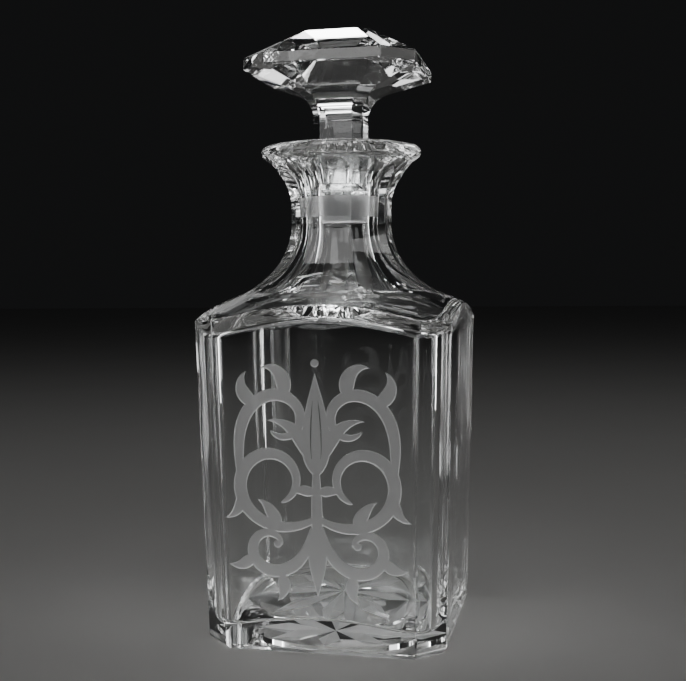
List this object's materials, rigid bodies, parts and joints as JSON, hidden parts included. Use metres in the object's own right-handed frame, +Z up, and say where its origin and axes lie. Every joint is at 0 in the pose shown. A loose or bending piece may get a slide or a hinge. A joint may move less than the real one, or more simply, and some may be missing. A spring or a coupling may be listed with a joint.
{
  "type": "square crystal decanter with stopper",
  "caption": "Square cut-crystal decanter with cut corners, a panelled flared neck and a faceted ground-glass stopper that lifts out.",
  "frame": {"origin": "centre of the standing surface, under the axis of the neck", "axes": "+Z up along the axis of the neck, -Y out of the etched front wall, +X to the right seen from the front"},
  "size_m": [0.0982, 0.0982, 0.2355],
  "materials": {
    "bottle_crystal": "polished clear cut crystal, etched ornament on the front",
    "stopper_crystal": "polished clear cut crystal, ground plug"
  },
  "bodies": {
    "bottle_body": {"bottle": "bottle_crystal"},
    "stopper_body": {"stopper": "stopper_crystal"}
  },
  "joints": [
    {"name": "stopper_lift", "type": "slide", "parent": "bottle_body", "child": "stopper_body", "axis": [0, 0, 1], "range_m": [0, 0.045]}
  ]
}
